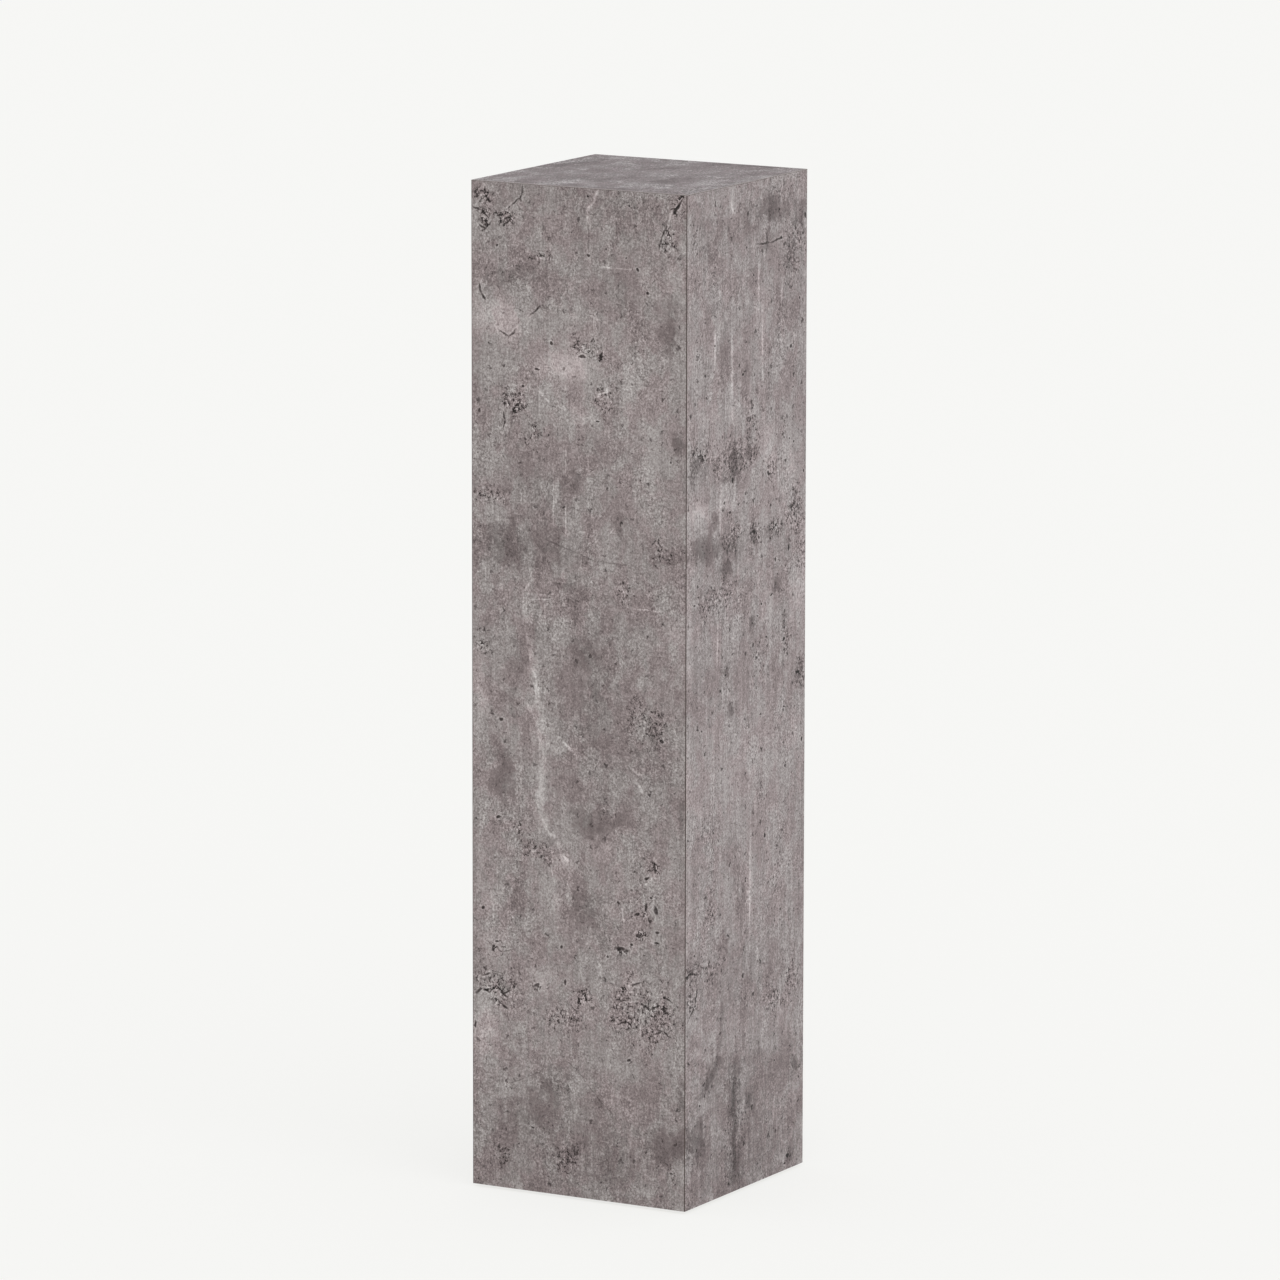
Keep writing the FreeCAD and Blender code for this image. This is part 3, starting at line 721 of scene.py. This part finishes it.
back_marks = {
    "smooth": [(-60, 820, 34, 18), (70, 560, 16, 30), (-40, 330, 30, 16), (60, 120, 26, 30)],
    "clouds": {
        -12: [(-58, 815, 40, 20), (72, 552, 20, 36), (-30, 335, 42, 22), (58, 118, 30, 34)],
        -8: [(40, 900, 50, 26), (-80, 620, 24, 44), (30, 430, 30, 16), (-70, 140, 30, 40)],
        10: [
            (60, 740, 26, 24), (-30, 700, 16, 20), (90, 400, 12, 40), (-90, 470, 14, 30),
            (0, 210, 22, 14),
        ],
        7: [(-20, 580, 50, 30), (-60, 950, 40, 20), (90, 260, 18, 40)],
    },
    "scuffs": {10: [(58, 742, 14, 11), (-28, 698, 9, 12), (2, 212, 16, 8), (-86, 480, 6, 13)]},
    "strokes": {
        24: strokes(
            1.6,
            [(-20, 1000), (-24, 980), (-18, 960), (-22, 945)],
            [(40, 660), (36, 640), (28, 622), (30, 600), (22, 584)],
            [(-10, 410), (2, 396), (6, 376), (16, 362)], [(70, 300), (84, 306)],
        ),
        -84: strokes(
            1.1,
            [(80, 850), (88, 842), (86, 830)], [(-100, 560), (-92, 552), (-84, 556)],
            [(20, 262), (30, 268), (38, 262)],
        ),
    },
    "rough": [
        (90, 950, 22, 20), (-98, 740, 14, 24), (10, 800, 18, 12), (40, 500, 18, 12),
        (-90, 250, 22, 20), (30, 60, 30, 16), (98, 200, 14, 22),
    ],
    "worms": [(92, 960, 16, 14), (-100, 738, 10, 16), (-92, 246, 16, 12), (44, 262, 12, 8)],
    "pits": [
        (-40, 930, 1.6, 1.5), (20, 870, 1.5, 1.4), (96, 690, 2.0, 1.6), (-10, 640, 1.5, 1.5),
        (-100, 400, 2.2, 1.6), (48, 344, 2.4, 1.6, 20), (-6, 120, 1.6, 1.6), (46, 258, 5.0, 1.7),
        (-60, 516, 2.6, 1.8), (60, 30, 1.8, 1.4),
    ],
}

left_marks = {
    "smooth": [(40, 860, 26, 20), (-70, 700, 18, 34), (20, 470, 34, 16), (-50, 180, 28, 24)],
    "clouds": {
        -12: [(42, 856, 34, 24), (-72, 690, 22, 40), (18, 466, 44, 20), (-48, 176, 34, 28)],
        -8: [(-60, 930, 40, 24), (70, 600, 24, 40), (-80, 400, 20, 34), (70, 240, 24, 40)],
        10: [(-30, 800, 8, 50), (90, 760, 14, 30), (-20, 580, 30, 16), (60, 380, 20, 26), (0, 90, 34, 16)],
        7: [(10, 700, 40, 40), (-90, 540, 20, 40), (-10, 300, 50, 30)],
    },
    "scuffs": {9: [(92, 766, 8, 18), (-22, 582, 18, 8), (58, 384, 11, 12), (4, 92, 18, 8)]},
    "strokes": {
        20: strokes(
            1.7,
            [(-30, 760), (-30, 845)], [(30, 940), (26, 920), (30, 900)],
            [(80, 480), (72, 462), (74, 440), (64, 424)], [(-100, 330), (-88, 322)],
        ),
        -84: strokes(
            1.1,
            [(-20, 902), (10, 904), (34, 900)], [(-104, 620), (-98, 604)],
            [(90, 150), (98, 138), (96, 126)],
        ),
    },
    "rough": [
        (-96, 840, 16, 26), (96, 920, 16, 20), (30, 640, 26, 14), (-90, 250, 20, 18),
        (96, 330, 14, 24), (40, 30, 40, 12), (-30, 380, 18, 12),
    ],
    "worms": [(-98, 838, 11, 16), (96, 326, 10, 14), (-92, 252, 13, 12)],
    "pits": [
        (10, 960, 1.6, 1.5), (60, 800, 2.2, 1.6), (-20, 660, 2.0, 1.5), (100, 560, 1.8, 2.4),
        (-60, 500, 1.6, 1.5), (30, 330, 2.2, 1.6), (-100, 120, 2.0, 1.5), (20, 200, 1.6, 1.8),
        (70, 60, 2.6, 1.8),
    ],
}

top_marks = {
    "smooth": [(0, 0, 150, 150)],
    "clouds": {
        -13: [(-30, -62, 34, 16), (50, -45, 12, 34), (-100, 60, 10, 60), (0, 116, 90, 8)],
        9: [(-40, -95, 70, 6, 8), (90, -30, 12, 60), (20, 30, 60, 16, 30), (110, 60, 8, 50)],
    },
    "scuffs": {10: [(-10, -84, 34, 5, 14), (60, -80, 16, 6), (-40, 20, 20, 8, -30)]},
    "strokes": {
        10: strokes(1.6, [(-28, -92), (0, -80), (24, -72)], [(40, -78), (68, -84)]),
        -14: strokes(1.0, [(-118, -100), (-96, -112)], [(96, -84), (112, -104)]),
    },
    "rough": [(-112, -112, 12, 8), (108, -90, 10, 20)],
    "worms": [(-116, -116, 6, 4)],
    "pits": [(-75, -109, 3.0, 2.0), (-58, -60, 1.4, 1.2), (92, 36, 1.8, 1.6)],
}

# The two tints of each cast, and the colours of a plain bevel and of a pale bevel that is a painted
# highlight. The lilac tints of the top are partly a painted cool light from above.
WARM_CASTS = ("#fffafb", "#fcfffe")
PLAIN_CASTS = ("#fffafc", "#fcfeff")
# Lilac tints of the top: the print's tints with a painted cool light from above.
LILAC_CASTS_AND_COOL_LIGHT = ("#fdf8fe", "#f9fbff")
CORE = "#463b37"
PALE_BEVEL_HIGHLIGHT = "#a39b99"
dress(concrete_laminate(
    "concrete_laminate_front", X, Z, NOT_Y, front_marks, WARM_CASTS, CORE,
), "front_laminate")
# The right sheet is painted a little lighter, partly its own tone and partly painted light from the lamp on
# the right.
dress(concrete_laminate(
    "concrete_laminate_right", Y, Z, X, right_marks, PLAIN_CASTS, CORE,
    tone_and_light_lift=3.0, streaks=1.5, pitting=1.4,
), "right_laminate")
dress(concrete_laminate(
    "concrete_laminate_back", NOT_X, Z, Y, back_marks, WARM_CASTS, CORE,
), "back_laminate")
dress(concrete_laminate(
    "concrete_laminate_left", NOT_Y, Z, NOT_X, left_marks, PLAIN_CASTS, CORE,
    tone_and_light_lift=1.0, streaks=1.3,
), "left_laminate")
# The top sheet is painted darker and lilac: painted shade against its stronger light from above, and a
# painted cool light.
dress(concrete_laminate(
    "concrete_laminate_top", X, Y, Z, top_marks, LILAC_CASTS_AND_COOL_LIGHT, PALE_BEVEL_HIGHLIGHT,
    tone_and_light_lift=-13.5, streaks=0.6, pitting=0.2, crisp=2.0,
), "top_laminate")


# ---- Floor and light -------------------------------------------------------------------------
# A plain pale studio floor under an even white sky, with one broad soft lamp high on the right.

# Half the floor's width in metres, and how many fibres of the paper lie in a metre.
FLOOR_HALF = 30.0
FIBRES = 900.0
PAPER = "#f6f6f4"
FLOOR_GLOW = 1.035
FLOOR_LIFT = 0.8

floor_mesh = bpy.data.meshes.new("studio_floor")
floor_mesh.from_pydata(
    [(x * FLOOR_HALF, y * FLOOR_HALF, 0) for x, y in ((-1, -1), (1, -1), (1, 1), (-1, 1))],
    [], [(0, 1, 2, 3)],
)
floor = bpy.data.objects.new("studio_floor", floor_mesh)
bpy.context.scene.collection.objects.link(floor)

# Matt studio paper: seen straight, it is lifted to an even near white and keeps a faint shadow.
paper = blank("studio_paper")
seen = node(paper, "LightPath", {})
fibre = node(paper, "TexNoise", {
    "Vector": node(paper, "TexCoord", {})["Object"], "Scale": FIBRES, "Detail": 1.0,
})[0]
paper_colour = node(paper, "ValToRGB", {0: fibre}, stops=((0.3, "#f3f3f1"), (0.7, PAPER)))[0]
matt = node(paper, "BsdfDiffuse", {"Color": paper_colour})[0]
glow = node(paper, "Emission", {"Color": linear(PAPER), "Strength": FLOOR_GLOW})[0]
lifted = node(paper, "Math", {0: seen["Is Camera Ray"], 1: FLOOR_LIFT}, operation="MULTIPLY")[0]
paper_surface = node(paper, "MixShader", {0: lifted, 1: matt, 2: glow})[0]
node(paper, "OutputMaterial", {"Surface": paper_surface})
floor_mesh.materials.append(paper)

# An even white sky lights the scene. Seen straight, in a reflection or through something clear,
# it has the colour of the paper instead.
SKY_LIGHT = 0.72
world = bpy.data.worlds.new("studio_sky")
world.use_nodes = True
world.node_tree.nodes.clear()
sky_path = node(world, "LightPath", {})
clear = node(world, "Math", {
    0: sky_path["Is Camera Ray"], 1: sky_path["Is Glossy Ray"],
}, operation="MAXIMUM")[0]
clear = node(world, "Math", {0: clear, 1: sky_path["Is Transmission Ray"]}, operation="MAXIMUM")[0]
sky_seen = node(world, "Background", {"Color": linear(PAPER), "Strength": 1.0})[0]
sky_glow = node(world, "Background", {"Color": (1, 1, 1, 1), "Strength": SKY_LIGHT})[0]
sky = node(world, "MixShader", {0: clear, 1: sky_glow, 2: sky_seen})[0]
node(world, "OutputWorld", {"Surface": sky})
bpy.context.scene.world = world

LAMP_STRENGTH = 0.95
LAMP_SOFTNESS = radians(70)
lamp_from = Vector((0.62, -0.50, 0.60))
lamp = bpy.data.objects.new("soft_lamp", bpy.data.lights.new("soft_lamp", "SUN"))
lamp.data.energy = LAMP_STRENGTH
lamp.data.angle = LAMP_SOFTNESS
lamp.rotation_euler = lamp_from.to_track_quat("Z", "Y").to_euler()
bpy.context.scene.collection.objects.link(lamp)


# ---- Camera ----------------------------------------------------------------------------------
# A long lens from the front right, ten degrees down.

STANDPOINT = (4.204, -7.393, 2.0414)
FOCAL_LENGTH = 247.37
SENSOR_WIDTH = 36.0
FAR_CLIP = 100.0
YAW, PITCH, ROLL = radians(-29.621), radians(10.013), radians(-0.0865)
ahead = Vector((sin(YAW) * cos(PITCH), cos(YAW) * cos(PITCH), -sin(PITCH)))
level = Vector((cos(YAW), -sin(YAW), 0))
upward = level.cross(ahead)
right_way = cos(ROLL) * level - sin(ROLL) * upward
up_way = sin(ROLL) * level + cos(ROLL) * upward
camera = bpy.data.objects.new("camera", bpy.data.cameras.new("camera"))
camera.data.lens = FOCAL_LENGTH
camera.data.sensor_width = SENSOR_WIDTH
camera.data.clip_end = FAR_CLIP
place = Matrix((right_way, up_way, -ahead)).transposed().to_4x4()
place.translation = STANDPOINT
camera.matrix_world = place
bpy.context.scene.collection.objects.link(camera)
bpy.context.scene.camera = camera
bpy.context.scene.view_settings.view_transform = "Standard"
